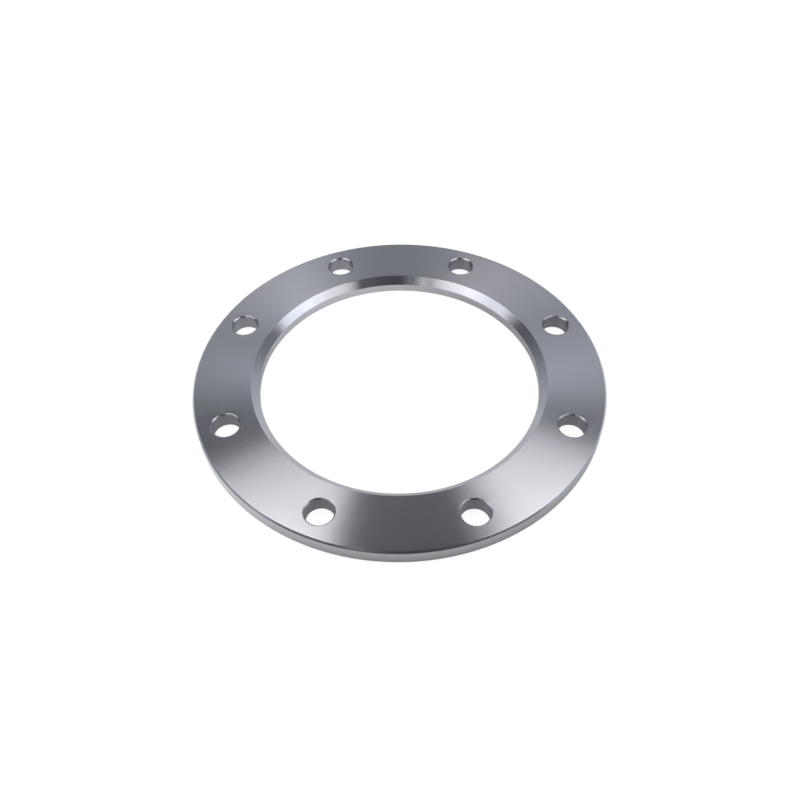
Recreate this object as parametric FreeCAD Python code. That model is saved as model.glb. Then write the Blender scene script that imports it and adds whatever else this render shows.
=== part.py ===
import FreeCAD, Part
import math
import os

# Plate flange: one flat steel ring, turned all over and drilled for eight bolts.
# The ring lies on its plain back face, at z = 0, with its axis on +Z. The bore's wide bevel is
# on the front face, where a collar's fillet would sit. The bolt holes straddle the X and Y axes,
# as is usual for pipe flanges. All sizes are in millimetres.

# Bore
BORE_DIAMETER = 233.0
BORE_BEVEL = 6.0
BORE_BACK_CHAMFER = 1.0

# Bolt holes, on a circle of 295 mm
BOLT_HOLE_COUNT = 8
BOLT_HOLE_DIAMETER = 22.0
BOLT_HOLE_CHAMFER = 1.0
WALL_FROM_BORE_TO_HOLES = 20.0
BOLT_CIRCLE_DIAMETER = BORE_DIAMETER + 2 * WALL_FROM_BORE_TO_HOLES + BOLT_HOLE_DIAMETER

# Rim, 340 mm across
FLANGE_THICKNESS = 14.0
RIM_CHAMFER = 1.5
WALL_FROM_HOLES_TO_RIM = 11.5
FLANGE_DIAMETER = BOLT_CIRCLE_DIAMETER + BOLT_HOLE_DIAMETER + 2 * WALL_FROM_HOLES_TO_RIM

# How far a cutting tool runs past the face that it cuts
TOOL_OVERRUN = 2.0

AXIS = FreeCAD.Vector(0, 0, 1)
CENTRE = FreeCAD.Vector(0, 0, 0)


def turned(profile):
    """Revolve a closed outline of (radius, height) points once round the flange's axis."""
    points = [FreeCAD.Vector(radius, 0, height) for radius, height in profile]
    face = Part.Face(Part.makePolygon(points + points[:1]))
    return face.revolve(CENTRE, AXIS, 360)


def turned_ring():
    """Return the turned blank: flat faces, chamfered rim and bevelled bore."""
    rim_radius = FLANGE_DIAMETER / 2
    bore_radius = BORE_DIAMETER / 2
    front = FLANGE_THICKNESS
    return turned([
        (bore_radius, BORE_BACK_CHAMFER),
        (bore_radius + BORE_BACK_CHAMFER, 0),
        (rim_radius - RIM_CHAMFER, 0),
        (rim_radius, RIM_CHAMFER),
        (rim_radius, front - RIM_CHAMFER),
        (rim_radius - RIM_CHAMFER, front),
        (bore_radius + BORE_BEVEL, front),
        (bore_radius, front - BORE_BEVEL),
    ])


def hole_cutter():
    """Return the drill and its two countersinks as one solid on the flange's axis."""
    drill_radius = BOLT_HOLE_DIAMETER / 2
    mouth_radius = drill_radius + BOLT_HOLE_CHAMFER
    front = FLANGE_THICKNESS
    return turned([
        (0, -TOOL_OVERRUN),
        (mouth_radius + TOOL_OVERRUN, -TOOL_OVERRUN),
        (drill_radius, BOLT_HOLE_CHAMFER),
        (drill_radius, front - BOLT_HOLE_CHAMFER),
        (mouth_radius + TOOL_OVERRUN, front + TOOL_OVERRUN),
        (0, front + TOOL_OVERRUN),
    ])


def bolt_hole_cutters():
    """Return the cutters round the bolt circle, with no hole on the X or Y axis."""
    pitch = 360 / BOLT_HOLE_COUNT
    cutter = hole_cutter()
    cutters = []
    for index in range(BOLT_HOLE_COUNT):
        angle = math.radians((index + 0.5) * pitch)
        spot = FreeCAD.Vector(math.cos(angle), math.sin(angle), 0) * (BOLT_CIRCLE_DIAMETER / 2)
        placed = cutter.copy()
        placed.translate(spot)
        cutters.append(placed)
    return cutters


def plate_flange():
    """Return the finished flange as one solid."""
    drilled = turned_ring().cut(bolt_hole_cutters())
    return drilled.Solids[0]


def main():
    """Write the flange to its own file and print its size and mass."""
    steel_kg_per_mm3 = 7.85e-6
    os.makedirs("parts", exist_ok=True)
    flange = plate_flange()
    flange.exportStep("parts/plate_flange.step")
    box = flange.BoundBox
    print(f"plate_flange: valid {flange.isValid()}, {len(flange.Faces)} faces")
    print(f"box {box.XLength:.3f} x {box.YLength:.3f} x {box.ZLength:.3f} mm, from z = {box.ZMin:.3f}")
    print(f"mass {flange.Volume * steel_kg_per_mm3:.3f} kg")


main()
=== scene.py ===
import logging
import math
from dataclasses import dataclass
from enum import Enum

import bmesh
import bpy
from mathutils import Matrix, Vector


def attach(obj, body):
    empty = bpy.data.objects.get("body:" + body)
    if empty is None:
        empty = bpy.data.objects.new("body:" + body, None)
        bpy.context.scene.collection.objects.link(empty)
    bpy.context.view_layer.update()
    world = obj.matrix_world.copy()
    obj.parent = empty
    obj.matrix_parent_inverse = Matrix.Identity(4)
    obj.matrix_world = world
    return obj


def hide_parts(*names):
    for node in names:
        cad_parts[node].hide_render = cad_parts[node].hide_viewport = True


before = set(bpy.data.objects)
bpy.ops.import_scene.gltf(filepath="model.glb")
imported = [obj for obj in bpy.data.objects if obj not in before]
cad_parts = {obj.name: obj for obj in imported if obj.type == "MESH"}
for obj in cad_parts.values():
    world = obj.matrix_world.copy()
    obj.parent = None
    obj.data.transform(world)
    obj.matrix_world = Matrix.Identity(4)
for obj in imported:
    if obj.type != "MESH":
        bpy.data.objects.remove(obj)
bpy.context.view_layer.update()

# A plate flange lying on its back face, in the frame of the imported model: metres, with the bore on +Z.
# One turned steel ring stands for the CAD ring. It has the same section and holes, with broken edges and
# the marks of its cutting tools. The faces were turned in a lathe, so their marks run round the axis.

RING_NODE = "plate_flange"
MM = 0.001
FULL_TURN = 2 * math.pi
MERGE_DISTANCE = 0.001 * MM
WHITE = (1.0, 1.0, 1.0, 1.0)

log = logging.getLogger("plate_flange")


class Surface(Enum):
    """The ring's machined surfaces. The value is the material slot that each one uses."""

    FRONT_FACE = 0
    BACK_FACE = 1
    BORE_BEVEL = 2
    CHAMFER = 3
    BORE_WALL = 4
    RIM = 5
    BOLT_HOLE = 6


class NodeBench:
    """Adds nodes to one node tree and joins them."""

    def __init__(self, tree: bpy.types.NodeTree) -> None:
        """Keep the tree that the nodes go into."""
        self.tree = tree

    def add(self, kind: str, **settings: object) -> bpy.types.Node:
        """Add a node.

        Args:
            kind: the node's Blender type.
            settings: properties to set on it, by name.

        Returns:
            The new node.
        """
        node = self.tree.nodes.new(kind)
        for name, value in settings.items():
            setattr(node, name, value)
        return node

    def feed(self, socket: bpy.types.NodeSocket, value: object) -> None:
        """Give an input its value.

        Args:
            socket: the input.
            value: another node's output, or a plain value.
        """
        if isinstance(value, bpy.types.NodeSocket):
            self.tree.links.new(value, socket)
        else:
            socket.default_value = value

    def math(
        self,
        operation: str,
        *values: object,
        clamp: bool = False,
    ) -> bpy.types.NodeSocket:
        """Add a Math node.

        Args:
            operation: the node's operation.
            values: the inputs' values or sources, in order.
            clamp: whether the result stays between 0 and 1.

        Returns:
            The node's output.
        """
        node = self.add("ShaderNodeMath", operation=operation, use_clamp=clamp)
        for socket, value in zip(node.inputs, values):
            self.feed(socket, value)
        return node.outputs[0]

    def mix(self, share: object, low: object, high: object) -> bpy.types.NodeSocket:
        """Add a Mix node for plain numbers.

        Args:
            share: how much of the high value there is, from 0 to 1.
            low: the value where the share is 0.
            high: the value where the share is 1.

        Returns:
            The mixed value.
        """
        node = self.add("ShaderNodeMix", data_type="FLOAT")
        self.feed(node.inputs[0], share)
        self.feed(node.inputs[2], low)
        self.feed(node.inputs[3], high)
        return node.outputs[0]

    def mix_colours(self, share: object, low: object, high: object) -> bpy.types.NodeSocket:
        """Add a Mix node for colours.

        Args:
            share: how much of the high colour there is, from 0 to 1.
            low: the colour where the share is 0.
            high: the colour where the share is 1.

        Returns:
            The mixed colour.
        """
        node = self.add("ShaderNodeMix", data_type="RGBA")
        self.feed(node.inputs[0], share)
        self.feed(node.inputs[6], low)
        self.feed(node.inputs[7], high)
        return node.outputs[2]

    def vector(self, across: object, along: object, upward: object) -> bpy.types.NodeSocket:
        """Add a Combine XYZ node.

        Args:
            across: the first number.
            along: the second number.
            upward: the third number.

        Returns:
            The vector.
        """
        node = self.add("ShaderNodeCombineXYZ")
        self.feed(node.inputs[0], across)
        self.feed(node.inputs[1], along)
        self.feed(node.inputs[2], upward)
        return node.outputs[0]

    def round_axis(
        self,
        place: bpy.types.NodeSocket,
    ) -> tuple[bpy.types.NodeSocket, bpy.types.NodeSocket, bpy.types.NodeSocket]:
        """Measure a place round the Z axis.

        Args:
            place: the place.

        Returns:
            Its distance from the axis, and the cosine and sine of its angle.
        """
        split = self.add("ShaderNodeSeparateXYZ")
        self.feed(split.inputs[0], place)
        x, y, _ = split.outputs
        x_squared = self.math("MULTIPLY", x, x)
        y_squared = self.math("MULTIPLY", y, y)
        radius = self.math("SQRT", self.math("ADD", x_squared, y_squared))
        return radius, self.math("DIVIDE", x, radius), self.math("DIVIDE", y, radius)

    def fade(self, distance: object, reach: float) -> bpy.types.NodeSocket:
        """Fade softly from 0 to 1 over a distance.

        Args:
            distance: the distance from where the fade starts.
            reach: the distance at which the fade comes to 1.

        Returns:
            The fade.
        """
        node = self.add("ShaderNodeMapRange", interpolation_type="SMOOTHSTEP")
        self.feed(node.inputs["Value"], distance)
        self.feed(node.inputs["From Max"], reach)
        return node.outputs[0]

    def vector_math(
        self,
        operation: str,
        first: object,
        second: object = None,
    ) -> bpy.types.NodeSocket:
        """Add a Vector Math node.

        Args:
            operation: the node's operation.
            first: the first vector.
            second: the second vector, or the factor where the operation is SCALE.

        Returns:
            The result, which is a plain number where the operation is DOT_PRODUCT.
        """
        node = self.add("ShaderNodeVectorMath", operation=operation)
        self.feed(node.inputs[0], first)
        if second is not None:
            self.feed(node.inputs["Scale" if operation == "SCALE" else 1], second)
        return node.outputs["Value" if operation == "DOT_PRODUCT" else "Vector"]


def node_group(
    name: str,
    inputs: dict[str, str],
    outputs: dict[str, str],
) -> tuple[bpy.types.NodeTree, NodeBench, dict[str, bpy.types.NodeSocket], bpy.types.Node]:
    """Start a shader node group with named sockets.

    Args:
        name: the group's name.
        inputs: each input's name and socket type.
        outputs: each output's name and socket type.

    Returns:
        The group, a bench for its nodes, its inputs by name, and its output node.
    """
    group = bpy.data.node_groups.new(name, "ShaderNodeTree")
    for socket_name, kind in inputs.items():
        group.interface.new_socket(name=socket_name, in_out="INPUT", socket_type=kind)
    for socket_name, kind in outputs.items():
        group.interface.new_socket(name=socket_name, in_out="OUTPUT", socket_type=kind)
    bench = NodeBench(group)
    entry = bench.add("NodeGroupInput")
    out = bench.add("NodeGroupOutput")
    return group, bench, {socket.name: socket for socket in entry.outputs if socket.name}, out


@dataclass(frozen=True)
class ToolMarks:
    """The shared effect of a cutting tool on turned work.

    Its streaks run round the axis and tilt the surface across their run. A soft clouding lies over them.
    """

    name: str = "tool_marks"
    streaks_per_radian: float = 9.0
    cloud_size: float = 11 * MM

    def group(self) -> bpy.types.NodeTree:
        """Build the group that turns a place on the work into its marks.

        Returns:
            The node group. Its Place input is measured from the axis that the work turned on.
        """
        number = "NodeSocketFloat"
        vector = "NodeSocketVector"
        group, bench, given, out = node_group(
            self.name,
            {
                "Place": vector,
                "Normal": vector,
                "Streak width": number,
                "Streak slope": number,
                "Seed": number,
            },
            {"Normal": vector, "Streaks": number, "Clouds": number},
        )
        _, cosine, sine = bench.round_axis(given["Place"])
        along = bench.vector(bench.math("MULTIPLY", sine, -1.0), cosine, 0.0)
        across = bench.vector_math("CROSS_PRODUCT", given["Normal"], along)
        width = bench.vector_math("DOT_PRODUCT", given["Place"], across)

        noise = bench.add("ShaderNodeTexNoise", noise_dimensions="3D")
        spot = bench.vector(
            bench.math("ADD", bench.math("DIVIDE", width, given["Streak width"]), given["Seed"]),
            bench.math("MULTIPLY", cosine, self.streaks_per_radian),
            bench.math("MULTIPLY", sine, self.streaks_per_radian),
        )
        bench.feed(noise.inputs["Vector"], spot)
        bench.feed(noise.inputs["Scale"], 1.0)
        streaks = noise.outputs[0]
        bench.feed(out.inputs["Streaks"], streaks)
        slope = bench.math("MULTIPLY", bench.math("SUBTRACT", streaks, 0.5), given["Streak slope"])
        tilted = bench.vector_math("ADD", given["Normal"], bench.vector_math("SCALE", across, slope))
        bench.feed(out.inputs["Normal"], bench.vector_math("NORMALIZE", tilted))

        clouds = bench.add("ShaderNodeTexNoise", noise_dimensions="4D")
        bench.feed(clouds.inputs["Vector"], given["Place"])
        bench.feed(clouds.inputs["W"], given["Seed"])
        bench.feed(clouds.inputs["Scale"], 1 / self.cloud_size)
        bench.feed(out.inputs["Clouds"], clouds.outputs[0])
        return group


@dataclass(frozen=True)
class BoltCircle:
    """The circle of bolt holes, and the effect that finds the nearest hole's axis."""

    count: int = 8
    radius: float = 147.5 * MM
    name: str = "nearest_bolt_hole"

    @property
    def pitch(self) -> float:
        """The angle between neighbouring holes, in radians."""
        return FULL_TURN / self.count

    def angle(self, index: int) -> float:
        """Return a hole's angle, in radians. The holes straddle the X and Y axes."""
        return (index + 0.5) * self.pitch

    def centre(self, index: int) -> Vector:
        """Return a hole's centre, in the plane z = 0."""
        angle = self.angle(index)
        return Vector((math.cos(angle), math.sin(angle), 0)) * self.radius

    def group(self) -> bpy.types.NodeTree:
        """Build the group that measures a place on the ring from the nearest hole's axis.

        Returns:
            The node group. Its Hole output numbers the holes.
        """
        group, bench, given, out = node_group(
            self.name,
            {"Place": "NodeSocketVector"},
            {"Place": "NodeSocketVector", "Hole": "NodeSocketFloat"},
        )
        place = bench.add("ShaderNodeSeparateXYZ")
        bench.feed(place.inputs[0], given["Place"])
        x, y, _ = place.outputs
        hole = bench.math("FLOOR", bench.math("DIVIDE", bench.math("ARCTAN2", y, x), self.pitch))
        angle = bench.math("MULTIPLY", bench.math("ADD", hole, 0.5), self.pitch)
        outward = bench.vector(bench.math("COSINE", angle), bench.math("SINE", angle), 0.0)
        centre = bench.vector_math("SCALE", outward, self.radius)
        bench.feed(out.inputs["Place"], bench.vector_math("SUBTRACT", given["Place"], centre))
        bench.feed(out.inputs["Hole"], hole)
        return group


@dataclass(frozen=True)
class CutSteel:
    """One machined steel finish."""

    name: str
    colour: tuple[float, float, float]
    streak_colour: tuple[float, float, float]
    roughness: float
    streak_roughness: float
    stretch: float
    streak_width: float = 1.5 * MM
    streak_slope: float = 0.05
    in_bolt_hole: bool = False
    # How much of the two colours' mixing follows the streaks, and the range of marks that it spans
    streak_share: float = 0.7
    mark_range: tuple[float, float] = (0.35, 0.65)
    # A quarter of a full turn, from the streaks' run to across it
    gloss_turn: float = 0.25

    def material(
        self,
        marks: bpy.types.NodeTree,
        nearest_hole: bpy.types.NodeTree,
        map_name: str,
    ) -> bpy.types.Material:
        """Build the material.

        Args:
            marks: the tool marks' group.
            nearest_hole: the group that measures from the nearest hole's axis.
            map_name: the UV map whose U runs along the streaks.

        Returns:
            The material.
        """
        material = bpy.data.materials.new(self.name)
        material.use_nodes = True
        tree = material.node_tree
        tree.nodes.clear()
        bench = NodeBench(tree)
        steel = bench.add("ShaderNodeBsdfPrincipled")
        out = bench.add("ShaderNodeOutputMaterial")
        bench.feed(out.inputs["Surface"], steel.outputs[0])
        tool = bench.add("ShaderNodeGroup", node_tree=marks)
        place = bench.add("ShaderNodeTexCoord").outputs["Object"]
        if self.in_bolt_hole:
            hole = bench.add("ShaderNodeGroup", node_tree=nearest_hole)
            bench.feed(hole.inputs["Place"], place)
            place = hole.outputs["Place"]
            bench.feed(tool.inputs["Seed"], hole.outputs["Hole"])
        bench.feed(tool.inputs["Place"], place)
        bench.feed(tool.inputs["Normal"], bench.add("ShaderNodeNewGeometry").outputs["Normal"])
        bench.feed(tool.inputs["Streak width"], self.streak_width)
        bench.feed(tool.inputs["Streak slope"], self.streak_slope)
        bench.feed(steel.inputs["Normal"], tool.outputs["Normal"])
        streaks = bench.math("MULTIPLY", tool.outputs["Streaks"], self.streak_share)
        clouds = bench.math("MULTIPLY", tool.outputs["Clouds"], 1 - self.streak_share)
        spread = bench.add("ShaderNodeMapRange")
        bench.feed(spread.inputs["Value"], bench.math("ADD", streaks, clouds))
        bench.feed(spread.inputs["From Min"], self.mark_range[0])
        bench.feed(spread.inputs["From Max"], self.mark_range[1])
        share = spread.outputs[0]
        colour = bench.mix_colours(share, (*self.colour, 1), (*self.streak_colour, 1))
        bench.feed(steel.inputs["Base Color"], colour)
        roughness = bench.mix(share, self.roughness, self.streak_roughness)
        bench.feed(steel.inputs["Roughness"], roughness)
        steel.inputs["Metallic"].default_value = 1.0
        steel.inputs["Anisotropic"].default_value = self.stretch
        steel.inputs["Anisotropic Rotation"].default_value = self.gloss_turn
        tangent = bench.add("ShaderNodeTangent", direction_type="UV_MAP", uv_map=map_name)
        bench.feed(steel.inputs["Tangent"], tangent.outputs[0])
        return material


FACED = CutSteel(
    name="faced_steel",
    colour=(0.557, 0.555, 0.585),
    streak_colour=(0.577, 0.575, 0.605),
    roughness=0.26,
    streak_roughness=0.27,
    stretch=1.0,
    streak_slope=0.02,
)
BEVELLED = CutSteel(
    name="bevelled_steel",
    colour=(0.55, 0.555, 0.595),
    streak_colour=(0.58, 0.585, 0.625),
    roughness=0.21,
    streak_roughness=0.22,
    stretch=1.0,
)
CHAMFERED = CutSteel(
    name="chamfered_steel",
    colour=(0.52, 0.53, 0.57),
    streak_colour=(0.55, 0.56, 0.60),
    roughness=0.175,
    streak_roughness=0.185,
    stretch=1.0,
)
TURNED = CutSteel(
    name="turned_steel",
    colour=(0.565, 0.57, 0.60),
    streak_colour=(0.595, 0.60, 0.63),
    roughness=0.17,
    streak_roughness=0.19,
    stretch=1.0,
)
DRILLED = CutSteel(
    name="drilled_steel",
    colour=(0.42, 0.43, 0.46),
    streak_colour=(0.50, 0.51, 0.54),
    roughness=0.25,
    streak_roughness=0.28,
    stretch=0.95,
    in_bolt_hole=True,
)
FINISHES = {
    Surface.FRONT_FACE: FACED,
    Surface.BACK_FACE: FACED,
    Surface.BORE_BEVEL: BEVELLED,
    Surface.CHAMFER: CHAMFERED,
    Surface.BORE_WALL: TURNED,
    Surface.RIM: TURNED,
    Surface.BOLT_HOLE: DRILLED,
}


@dataclass
class FlangeRing:
    """The turned and drilled ring. Sizes are in metres and radii, from the bore's axis."""

    bolt_circle: BoltCircle
    bore: float = 116.5 * MM
    bore_bevel: float = 6 * MM
    bore_back_chamfer: float = 1 * MM
    rim: float = 170 * MM
    rim_chamfer: float = 1.5 * MM
    thickness: float = 14 * MM
    drill: float = 11 * MM
    hole_chamfer: float = 1 * MM
    edge_break: float = 0.15 * MM
    edge_break_steps: int = 2
    sharp_angle: float = math.radians(20)
    # A face counts as flat, or as sloping, from this much of its normal on the axis
    flat_from: float = 0.99
    sloping_from: float = 0.3
    # The square field of face round each bolt hole, in cells of the ring's mesh
    cells_per_pitch: int = 48
    field_half_width: float = 16.5 * MM
    field_cells_across: int = 10
    field_cells_along: int = 14
    face_skin: float = 0.1 * MM
    map_name: str = "OFBake"
    map_gap: float = 3 * MM
    hole_map_gap: float = 0.02

    @property
    def steps(self) -> int:
        """The number of mesh cells round the ring."""
        return self.cells_per_pitch * self.bolt_circle.count

    @property
    def liner_steps(self) -> int:
        """The number of mesh cells round a bolt hole, the same as round its field."""
        return 2 * (self.field_cells_across + self.field_cells_along)

    def section(self) -> list[tuple[float, float]]:
        """Return the ring's section as a closed outline.

        Returns:
            Points of radius and height, anticlockwise from the bore's back edge.
        """
        inner = self.bolt_circle.radius - self.field_half_width
        outer = self.bolt_circle.radius + self.field_half_width
        top = self.thickness
        return [
            (self.bore, self.bore_back_chamfer),
            (self.bore + self.bore_back_chamfer, 0),
            (inner, 0),
            (outer, 0),
            (self.rim - self.rim_chamfer, 0),
            (self.rim, self.rim_chamfer),
            (self.rim, top - self.rim_chamfer),
            (self.rim - self.rim_chamfer, top),
            (outer, top),
            (inner, top),
            (self.bore + self.bore_bevel, top),
            (self.bore, top - self.bore_bevel),
        ]

    def liner_section(self) -> list[tuple[float, float]]:
        """Return a bolt hole's section, from its front mouth to its back one.

        Returns:
            Points of radius from the hole's own axis and height.
        """
        mouth = self.drill + self.hole_chamfer
        top = self.thickness
        return [
            (mouth, top),
            (self.drill, top - self.hole_chamfer),
            (self.drill, self.hole_chamfer),
            (mouth, 0),
        ]

    def turn_blank(self, bm: bmesh.types.BMesh) -> None:
        """Spin the section round the axis.

        Args:
            bm: the mesh that the blank is made in.
        """
        corners = [bm.verts.new((radius, 0, height)) for radius, height in self.section()]
        edges = [bm.edges.new(pair) for pair in zip(corners, corners[1:] + corners[:1])]
        field_width = 2 * self.field_half_width
        field_edges = [edge for edge in edges if math.isclose(edge.calc_length(), field_width)]
        bmesh.ops.subdivide_edges(bm, edges=field_edges, cuts=self.field_cells_across - 1)
        bmesh.ops.spin(
            bm,
            geom=bm.verts[:] + bm.edges[:],
            cent=(0, 0, 0),
            axis=(0, 0, 1),
            angle=FULL_TURN,
            steps=self.steps,
            use_merge=True,
        )
        bmesh.ops.remove_doubles(bm, verts=bm.verts[:], dist=MERGE_DISTANCE)

    def past_hole(self, spot: Vector) -> tuple[int, float]:
        """Find the bolt hole that a spot is nearest to, going round the axis.

        Args:
            spot: the spot.

        Returns:
            The hole's number and the angle from the hole to the spot.
        """
        angle = math.atan2(spot.y, spot.x) % FULL_TURN
        index = int(angle // self.bolt_circle.pitch)
        return index, angle - self.bolt_circle.angle(index)

    def in_field(self, face: bmesh.types.BMFace) -> bool:
        """Tell whether a face of the blank lies in the field round a bolt hole.

        Args:
            face: a face of the blank.

        Returns:
            True where it does.
        """
        middle = face.calc_center_median()
        if self.face_skin < middle.z < self.thickness - self.face_skin:
            return False
        half_angle = self.field_cells_along / 2 * FULL_TURN / self.steps
        off_circle = abs(middle.xy.length - self.bolt_circle.radius)
        return off_circle < self.field_half_width and abs(self.past_hole(middle)[1]) < half_angle

    def drill_holes(self, bm: bmesh.types.BMesh) -> None:
        """Open the field round each bolt hole, and join it to a liner spun from the hole's section.

        Args:
            bm: the mesh of the blank.
        """
        bmesh.ops.delete(bm, geom=[face for face in bm.faces if self.in_field(face)], context="FACES")
        for index in range(self.bolt_circle.count):
            centre = self.bolt_circle.centre(index)
            outward = centre.normalized()
            upward = Vector((0, 0, 1))
            spots = [centre + outward * radius + upward * z for radius, z in self.liner_section()]
            chain = [bm.verts.new(spot) for spot in spots]
            edges = [bm.edges.new(pair) for pair in zip(chain, chain[1:])]
            bmesh.ops.spin(
                bm,
                geom=chain + edges,
                cent=centre,
                axis=(0, 0, 1),
                angle=FULL_TURN,
                steps=self.liner_steps,
                use_merge=True,
            )
        bmesh.ops.remove_doubles(bm, verts=bm.verts[:], dist=MERGE_DISTANCE)
        rims: dict[tuple[int, bool], list[bmesh.types.BMEdge]] = {}
        for edge in bm.edges:
            if edge.is_boundary:
                middle = (edge.verts[0].co + edge.verts[1].co) / 2
                key = self.past_hole(middle)[0], middle.z > self.thickness / 2
                rims.setdefault(key, []).append(edge)
        for loops in rims.values():
            bmesh.ops.bridge_loops(bm, edges=loops)
        bmesh.ops.recalc_face_normals(bm, faces=bm.faces[:])

    def break_edges(self, bm: bmesh.types.BMesh) -> None:
        """Round every machined edge a little, as a light pass of a file does.

        Args:
            bm: the mesh of the drilled ring.
        """
        sharp = [edge for edge in bm.edges if edge.calc_face_angle(0) > self.sharp_angle]
        bmesh.ops.bevel(
            bm,
            geom=sharp,
            offset=self.edge_break,
            offset_type="OFFSET",
            segments=self.edge_break_steps,
            profile=0.5,
            affect="EDGES",
            clamp_overlap=True,
            material=-1,
        )

    def surface_of(self, face: bmesh.types.BMFace) -> Surface:
        """Name the machined surface that a face belongs to.

        Args:
            face: a face of the finished ring.

        Returns:
            The surface.
        """
        middle = face.calc_center_median()
        radius = middle.xy.length
        upright = face.normal.z
        if upright > self.flat_from:
            return Surface.FRONT_FACE
        if upright < -self.flat_from:
            return Surface.BACK_FACE
        hole_centre = self.bolt_circle.centre(self.past_hole(middle)[0])
        if (middle.xy - hole_centre.xy).length < self.drill + self.hole_chamfer + self.edge_break:
            return Surface.BOLT_HOLE
        on_rim = radius > self.bolt_circle.radius
        if upright > self.sloping_from and not on_rim:
            return Surface.BORE_BEVEL
        if abs(upright) > self.sloping_from:
            return Surface.CHAMFER
        return Surface.RIM if on_rim else Surface.BORE_WALL

    def lay_map(self, bm: bmesh.types.BMesh) -> None:
        """Unroll the ring into level strips, with U along the tool's path and V across it.

        Args:
            bm: the mesh of the finished ring.
        """
        layer = bm.loops.layers.uv.new(self.map_name)
        face_width = self.rim - self.bore
        strips = {}
        start = self.map_gap
        for name, width in (
            ("front", face_width),
            ("back", face_width),
            ("bore", self.thickness),
            ("rim", self.thickness),
            ("holes", self.thickness),
        ):
            strips[name] = start
            start += width + self.map_gap
        for face in bm.faces:
            surface = Surface(face.material_index)
            middle = face.calc_center_median()
            index = self.past_hole(middle)[0]
            drilled = surface is Surface.BOLT_HOLE
            flat = surface in (Surface.FRONT_FACE, Surface.BACK_FACE)
            if flat:
                strip = strips["front" if surface is Surface.FRONT_FACE else "back"]
            elif drilled:
                strip = strips["holes"]
            else:
                strip = strips["rim" if middle.xy.length > self.bolt_circle.radius else "bore"]
            centre = self.bolt_circle.centre(index).xy if drilled else Vector((0, 0))
            middle_turn = self.turn(middle.xy - centre)
            for loop in face.loops:
                spot = loop.vert.co.xy - centre
                turn = self.turn(spot)
                turn += round(middle_turn - turn)
                if drilled:
                    gap = self.hole_map_gap
                    turn = (index + gap + (1 - 2 * gap) * turn) / self.bolt_circle.count
                across = spot.length - self.bore if flat else loop.vert.co.z
                loop[layer].uv = turn, (strip + across) / start

    @staticmethod
    def turn(spot: Vector) -> float:
        """Return a flat spot's angle as a share of a full turn, from 0 to 1."""
        return (math.atan2(spot.y, spot.x) / FULL_TURN) % 1.0

    def build(self) -> bpy.types.Object:
        """Make the ring and place it in the frame.

        Returns:
            The ring's object.
        """
        bm = bmesh.new()
        self.turn_blank(bm)
        self.drill_holes(bm)
        self.break_edges(bm)
        for face in bm.faces:
            face.smooth = True
            face.material_index = self.surface_of(face).value
        self.lay_map(bm)
        mesh = bpy.data.meshes.new("flange_ring")
        bm.to_mesh(mesh)
        bm.free()
        ring = bpy.data.objects.new("flange_ring", mesh)
        bpy.context.scene.collection.objects.link(ring)
        normals = ring.modifiers.new("flat_faces", "WEIGHTED_NORMAL")
        normals.mode = "FACE_AREA"
        normals.weight = 100
        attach(ring, "root")
        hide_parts(RING_NODE)
        return ring

    def dress(self, ring: bpy.types.Object) -> None:
        """Give each machined surface its finish.

        Args:
            ring: the ring's object.
        """
        marks = ToolMarks().group()
        nearest_hole = self.bolt_circle.group()
        made: dict[CutSteel, bpy.types.Material] = {}
        for surface in Surface:
            finish = FINISHES[surface]
            if finish not in made:
                made[finish] = finish.material(marks, nearest_hole, self.map_name)
            ring.data.materials.append(made[finish])


@dataclass(frozen=True)
class Softbox:
    """A level rectangular lamp that hangs over the table and faces the floor."""

    name: str
    centre: tuple[float, float]
    size: tuple[float, float]
    turn: float
    brightness: float
    height: float = 1.2
    soft_edge: float = 0.14

    def hang(self) -> bpy.types.Object:
        """Make the lamp.

        Returns:
            The lamp's object.
        """
        place = Matrix.Translation((*self.centre, self.height)) @ Matrix.Rotation(self.turn, 4, "Z")
        return area_lamp(self.name, self.size, self.soft_edge, self.brightness, place)


@dataclass(frozen=True)
class WallPanel:
    """An upright rectangular lamp that faces the object from the side."""

    name: str
    bearing: float
    width: float
    low: float
    high: float
    brightness: float
    distance: float = 2.5
    soft_edge: float = 0.50

    def stand(self, tint: tuple[float, float, float]) -> bpy.types.Object:
        """Make the lamp.

        Args:
            tint: the colour of its light.

        Returns:
            The lamp's object.
        """
        bearing = math.radians(self.bearing)
        outward = Vector((math.cos(bearing), math.sin(bearing), 0))
        middle = outward * self.distance + Vector((0, 0, (self.low + self.high) / 2))
        facing = (-outward).to_track_quat("-Z", "Y").to_matrix().to_4x4()
        place = Matrix.Translation(middle) @ facing
        size = self.width, self.high - self.low
        lamp = area_lamp(self.name, size, self.soft_edge, self.brightness, place)
        lamp.data.color = tint
        return lamp


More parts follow.
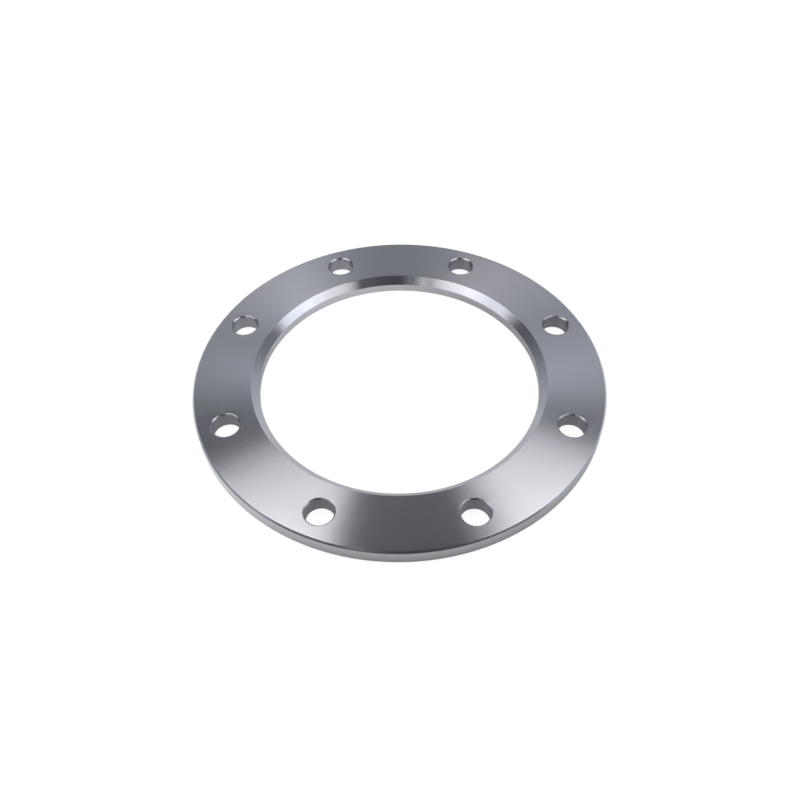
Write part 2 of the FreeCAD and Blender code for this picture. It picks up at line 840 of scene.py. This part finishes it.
def area_lamp(
    name: str,
    size: tuple[float, float],
    soft_edge: float,
    brightness: float,
    place: Matrix,
) -> bpy.types.Object:
    """Make a rectangular lamp whose light fades out along its edges, as a softbox's does.

    Args:
        name: the lamp's name.
        size: its width and height in metres, up to where its light is half as strong.
        soft_edge: the width of the border over which its light fades out.
        brightness: how bright its middle looks, where 1 is white.
        place: its place in the room.

    Returns:
        The lamp's object.
    """
    lamp = bpy.data.lights.new(name, "AREA")
    lamp.shape = "RECTANGLE"
    lamp.size, lamp.size_y = (side + soft_edge for side in size)
    lamp.energy = brightness * math.pi * lamp.size * lamp.size_y
    lamp.use_nodes = True
    bench = NodeBench(lamp.node_tree)
    spot = bench.add("ShaderNodeSeparateXYZ")
    bench.feed(spot.inputs[0], bench.add("ShaderNodeNewGeometry").outputs["Parametric"])
    level = 1.0
    for share, side in zip(spot.outputs, (lamp.size, lamp.size_y)):
        nearest_edge = bench.math("MINIMUM", share, bench.math("SUBTRACT", 1.0, share))
        level = bench.math("MULTIPLY", bench.fade(nearest_edge, soft_edge / side), level)
    bench.feed(lamp.node_tree.nodes["Emission"].inputs["Strength"], level)
    lamp_object = bpy.data.objects.new(name, lamp)
    lamp_object.matrix_world = place
    bpy.context.scene.collection.objects.link(lamp_object)
    return lamp_object


@dataclass(frozen=True)
class SideTone:
    """A tone that is strongest toward one bearing round the axis and fades away from it."""

    bearing: float
    sharpness: float
    strength: float

    def nodes(
        self,
        bench: NodeBench,
        cosine: bpy.types.NodeSocket,
        sine: bpy.types.NodeSocket,
    ) -> bpy.types.NodeSocket:
        """Work out the tone at each place.

        Args:
            bench: the bench of the nodes' material.
            cosine: the cosine of the place's angle round the axis.
            sine: the sine of that angle.

        Returns:
            The tone, from 0 to its strength.
        """
        angle = math.radians(self.bearing)
        rightward = bench.math("MULTIPLY", cosine, math.cos(angle))
        backward = bench.math("MULTIPLY", sine, math.sin(angle))
        facing = bench.math("ADD", rightward, backward, clamp=True)
        return bench.math("MULTIPLY", bench.math("POWER", facing, self.sharpness), self.strength)


@dataclass(frozen=True)
class PaintedRingShade:
    """The painted shade that lies on the paper near the ring, as its own steel mirrors it. It darkens
    the paper only for glossy and transmission rays.

    The levels are shares of the paper's white that is left right beside the ring.
    """

    outside: float = 0.50
    outside_gain: SideTone = SideTone(210, 6, 0.38)
    inside: float = 0.45
    inside_gain: SideTone = SideTone(118, 3, 0.27)
    in_holes: float = 0.30
    in_holes_gain: SideTone = SideTone(130, 2, 0.22)
    reach: float = 60 * MM
    # A painted contact shadow right beside the rim and the bore, darkest toward the front
    contact_loss: SideTone = SideTone(275, 4, 0.45)
    contact_reach: float = 6 * MM

    def nodes(
        self,
        bench: NodeBench,
        ring: FlangeRing,
        radius: bpy.types.NodeSocket,
        cosine: bpy.types.NodeSocket,
        sine: bpy.types.NodeSocket,
    ) -> bpy.types.NodeSocket:
        """Work out the painted shade at each place on the paper.

        Args:
            bench: the bench of the paper's material.
            ring: the ring that lies on the paper.
            radius: the place's distance from the ring's axis.
            cosine: the cosine of its angle round the axis.
            sine: the sine of that angle.

        Returns:
            The share of the paper's white that is left, from 0 to 1.
        """
        off_rim = bench.math("SUBTRACT", radius, ring.rim)
        off_bore = bench.math("SUBTRACT", ring.bore, radius)
        off = bench.math("MAXIMUM", off_rim, off_bore)
        outside = bench.math("ADD", self.outside_gain.nodes(bench, cosine, sine), self.outside)
        inside = bench.math("ADD", self.inside_gain.nodes(bench, cosine, sine), self.inside)
        level = bench.mix(bench.math("GREATER_THAN", off_bore, 0.0), outside, inside)
        broad = bench.mix(bench.fade(off, self.reach), level, 1.0)
        at_contact = bench.math("SUBTRACT", 1.0, self.contact_loss.nodes(bench, cosine, sine))
        contact = bench.mix(bench.fade(off, self.contact_reach), at_contact, 1.0)
        beside_ring = bench.math("MULTIPLY", broad, contact)
        in_holes = bench.math("ADD", self.in_holes_gain.nodes(bench, cosine, sine), self.in_holes)
        return bench.mix(bench.math("GREATER_THAN", off, 0.0), in_holes, beside_ring)


@dataclass
class Studio:
    """The floor, the room's faint light, the softboxes and the wall panels. Brightness 1 is white.

    The floor fades to full white at floor_far, so that no horizon shows in a low view.
    """

    floor_radius: float = 8.0
    floor_gap: float = 0.05 * MM
    floor_tuck: float = 0.1 * MM
    floor_roughness: float = 0.9
    floor_specular: float = 0.2
    floor_colour: float = 0.8
    floor_seen_colour: float = 0.15
    floor_lift: float = 0.915
    floor_far: float = 2.5
    # The painted shade on the paper near the ring, which the steel sees in its reflections
    painted_ring_shade: PaintedRingShade = PaintedRingShade()
    room_tint: tuple[float, float, float] = (0.94, 0.98, 1.08)
    overhead: float = 0.010
    horizon_front: float = 0.478
    horizon_back: float = 1.060
    horizon_left: float = 0.609
    horizon_right: float = 1.000
    horizon_falloff: float = 3.651
    softboxes: tuple[Softbox, ...] = (
        Softbox("left_softbox", (-0.680, -0.095), (0.726, 1.174), -0.177, 3.200),
        Softbox("right_softbox", (0.756, 0.030), (0.743, 1.162), 0.158, 2.919),
        Softbox("left_strip", (-0.469, -0.351), (0.300, 1.872), 0.107, 1.500),
        Softbox("right_strip", (0.638, 0.474), (0.266, 0.677), 0.600, 1.500),
        Softbox("left_front_strip", (-0.853, -0.367), (1.970, 0.300), -0.800, 1.500),
        Softbox("right_front_strip", (0.763, -0.744), (1.999, 0.081), -0.478, 1.436),
    )
    panels: tuple[WallPanel, ...] = (
        WallPanel("right_panel", -4.7, 1.408, 1.169, 2.046, 2.060),
        WallPanel("right_back_panel", 78.6, 2.400, 1.749, 2.724, 1.000),
        WallPanel("left_back_panel", 111.4, 1.162, 1.805, 2.606, 1.000),
        WallPanel("left_panel", 194.2, 1.275, 1.250, 1.740, 2.428),
    )

    def floor_mesh(self, ring: FlangeRing) -> bpy.types.Mesh:
        """Make the floor's mesh, which leaves out what the ring's back face covers.

        Seen from below, the back face then shows the room and not the dark gap under it.

        Args:
            ring: the ring that lies on the floor.

        Returns:
            The mesh.
        """
        bm = bmesh.new()
        lowered = Matrix.Translation((0, 0, -self.floor_gap))
        inner = ring.bore + ring.bore_back_chamfer + self.floor_tuck
        outer = ring.rim - ring.rim_chamfer - self.floor_tuck
        mouth = ring.drill + ring.hole_chamfer + self.floor_tuck
        bmesh.ops.create_circle(bm, cap_ends=True, segments=ring.steps, radius=inner, matrix=lowered)
        for index in range(ring.bolt_circle.count):
            centre = Matrix.Translation(ring.bolt_circle.centre(index))
            bmesh.ops.create_circle(
                bm,
                cap_ends=True,
                segments=ring.liner_steps,
                radius=mouth,
                matrix=lowered @ centre,
            )
        ends = [bm.verts.new((radius, 0, -self.floor_gap)) for radius in (outer, self.floor_radius)]
        bmesh.ops.spin(
            bm,
            geom=[*ends, bm.edges.new(ends)],
            cent=(0, 0, 0),
            axis=(0, 0, 1),
            angle=FULL_TURN,
            steps=ring.steps,
            use_merge=True,
        )
        bm.normal_update()
        bmesh.ops.reverse_faces(bm, faces=[face for face in bm.faces if face.normal.z < 0])
        mesh = bpy.data.meshes.new("floor")
        bm.to_mesh(mesh)
        bm.free()
        return mesh

    def white_paper(self, ring: FlangeRing) -> bpy.types.Material:
        """Make the floor's paper, which can be seen through from below.

        Args:
            ring: the ring that lies on the paper.

        Returns:
            The material.
        """
        material = bpy.data.materials.new("white_paper")
        material.use_nodes = True
        bench = NodeBench(material.node_tree)
        paper = material.node_tree.nodes["Principled BSDF"]
        paper.inputs["Roughness"].default_value = self.floor_roughness
        paper.inputs["Specular IOR Level"].default_value = self.floor_specular
        paper.inputs["Emission Color"].default_value = WHITE
        rays = bench.add("ShaderNodeLightPath").outputs
        mirrored = bench.math("MAXIMUM", rays["Is Glossy Ray"], rays["Is Transmission Ray"])
        seen = bench.math("MAXIMUM", rays["Is Camera Ray"], mirrored)
        place = bench.add("ShaderNodeTexCoord").outputs["Object"]
        radius, cosine, sine = bench.round_axis(place)
        # Glossy and transmission rays see the painted shade near the ring; camera and diffuse rays see
        # the plain paper
        shade = bench.mix(mirrored, 1.0, self.painted_ring_shade.nodes(bench, ring, radius, cosine, sine))
        seen_colour = bench.math("MULTIPLY", shade, self.floor_seen_colour)
        whitening = bench.mix(bench.fade(radius, self.floor_far), self.floor_lift, 1.0)
        lift = bench.math("MULTIPLY", shade, whitening)
        bench.feed(paper.inputs["Base Color"], bench.mix(seen, self.floor_colour, seen_colour))
        bench.feed(paper.inputs["Emission Strength"], bench.math("MULTIPLY", seen, lift))
        material.cycles.emission_sampling = "NONE"
        from_below = bench.add("ShaderNodeNewGeometry").outputs["Backfacing"]
        one_sided = bench.add("ShaderNodeMixShader")
        bench.feed(one_sided.inputs[0], from_below)
        bench.feed(one_sided.inputs[1], paper.outputs[0])
        bench.feed(one_sided.inputs[2], bench.add("ShaderNodeBsdfTransparent").outputs[0])
        bench.feed(material.node_tree.nodes["Material Output"].inputs["Surface"], one_sided.outputs[0])
        return material

    def lay_floor(self, ring: FlangeRing) -> bpy.types.Object:
        """Make the pale floor.

        Args:
            ring: the ring that lies on the floor.

        Returns:
            The floor's object.
        """
        mesh = self.floor_mesh(ring)
        mesh.materials.append(self.white_paper(ring))
        floor = bpy.data.objects.new("floor", mesh)
        bpy.context.scene.collection.objects.link(floor)
        return floor

    def light_room(self) -> None:
        """Give the room its faint light, and show it white to the camera."""
        world = bpy.data.worlds.new("studio_room")
        world.use_nodes = True
        bench = NodeBench(world.node_tree)
        background = world.node_tree.nodes["Background"]
        facing = bench.add("ShaderNodeTexCoord").outputs["Generated"]
        _, cosine, sine = bench.round_axis(facing)
        at_back = bench.math("GREATER_THAN", sine, 0.0)
        at_right = bench.math("GREATER_THAN", cosine, 0.0)
        in_depth = bench.mix(at_back, self.horizon_front, self.horizon_back)
        in_width = bench.mix(at_right, self.horizon_left, self.horizon_right)
        horizon = bench.mix(bench.math("MULTIPLY", sine, sine), in_width, in_depth)
        split = bench.add("ShaderNodeSeparateXYZ")
        bench.feed(split.inputs[0], facing)
        below_top = bench.math("SUBTRACT", 1.0, split.outputs["Z"], clamp=True)
        level_share = bench.math("POWER", below_top, self.horizon_falloff)
        room = bench.mix(level_share, self.overhead, horizon)
        rays = bench.add("ShaderNodeLightPath").outputs["Is Camera Ray"]
        bench.feed(background.inputs["Strength"], bench.mix(rays, room, 1.0))
        colour = bench.mix_colours(rays, (*self.room_tint, 1), WHITE)
        bench.feed(background.inputs["Color"], colour)
        bpy.context.scene.world = world

    def build(self, ring: FlangeRing) -> None:
        """Make the floor, the room and the lamps.

        Args:
            ring: the ring that lies on the floor.
        """
        self.lay_floor(ring)
        self.light_room()
        for softbox in self.softboxes:
            softbox.hang()
        for panel in self.panels:
            panel.stand(self.room_tint)


@dataclass
class Camera:
    """The camera, placed as the photograph was taken."""

    lens: float = 35.649
    sensor: float = 36.0
    position: tuple[float, float, float] = (0.00894, -0.44645, 0.49835)
    aim: tuple[float, float, float] = (0.000659, -0.018267, 0.0)
    roll: float = -0.014049

    def build(self) -> bpy.types.Object:
        """Make the camera and use it for the scene.

        Returns:
            The camera's object.
        """
        data = bpy.data.cameras.new("camera")
        data.lens = self.lens
        data.sensor_width = self.sensor
        camera = bpy.data.objects.new("camera", data)
        bpy.context.scene.collection.objects.link(camera)
        position = Vector(self.position)
        facing = (Vector(self.aim) - position).to_track_quat("-Z", "Y").to_matrix().to_4x4()
        camera.matrix_world = Matrix.Translation(position) @ facing @ Matrix.Rotation(self.roll, 4, "Z")
        bpy.context.scene.camera = camera
        return camera


def main() -> None:
    """Build the ring, the studio and the camera."""
    logging.basicConfig(level=logging.INFO, format="%(name)s: %(message)s")
    flange = FlangeRing(BoltCircle())
    ring = flange.build()
    flange.dress(ring)
    log.info("%s: %d faces, %d materials", ring.name, len(ring.data.polygons), len(ring.data.materials))
    studio = Studio()
    studio.build(flange)
    log.info("studio: %d lamps", len(studio.softboxes) + len(studio.panels))
    camera = Camera().build()
    log.info("%s: %.1f mm lens", camera.name, camera.data.lens)
    bpy.context.scene.view_settings.view_transform = "Standard"


if __name__ == "__main__":
    main()
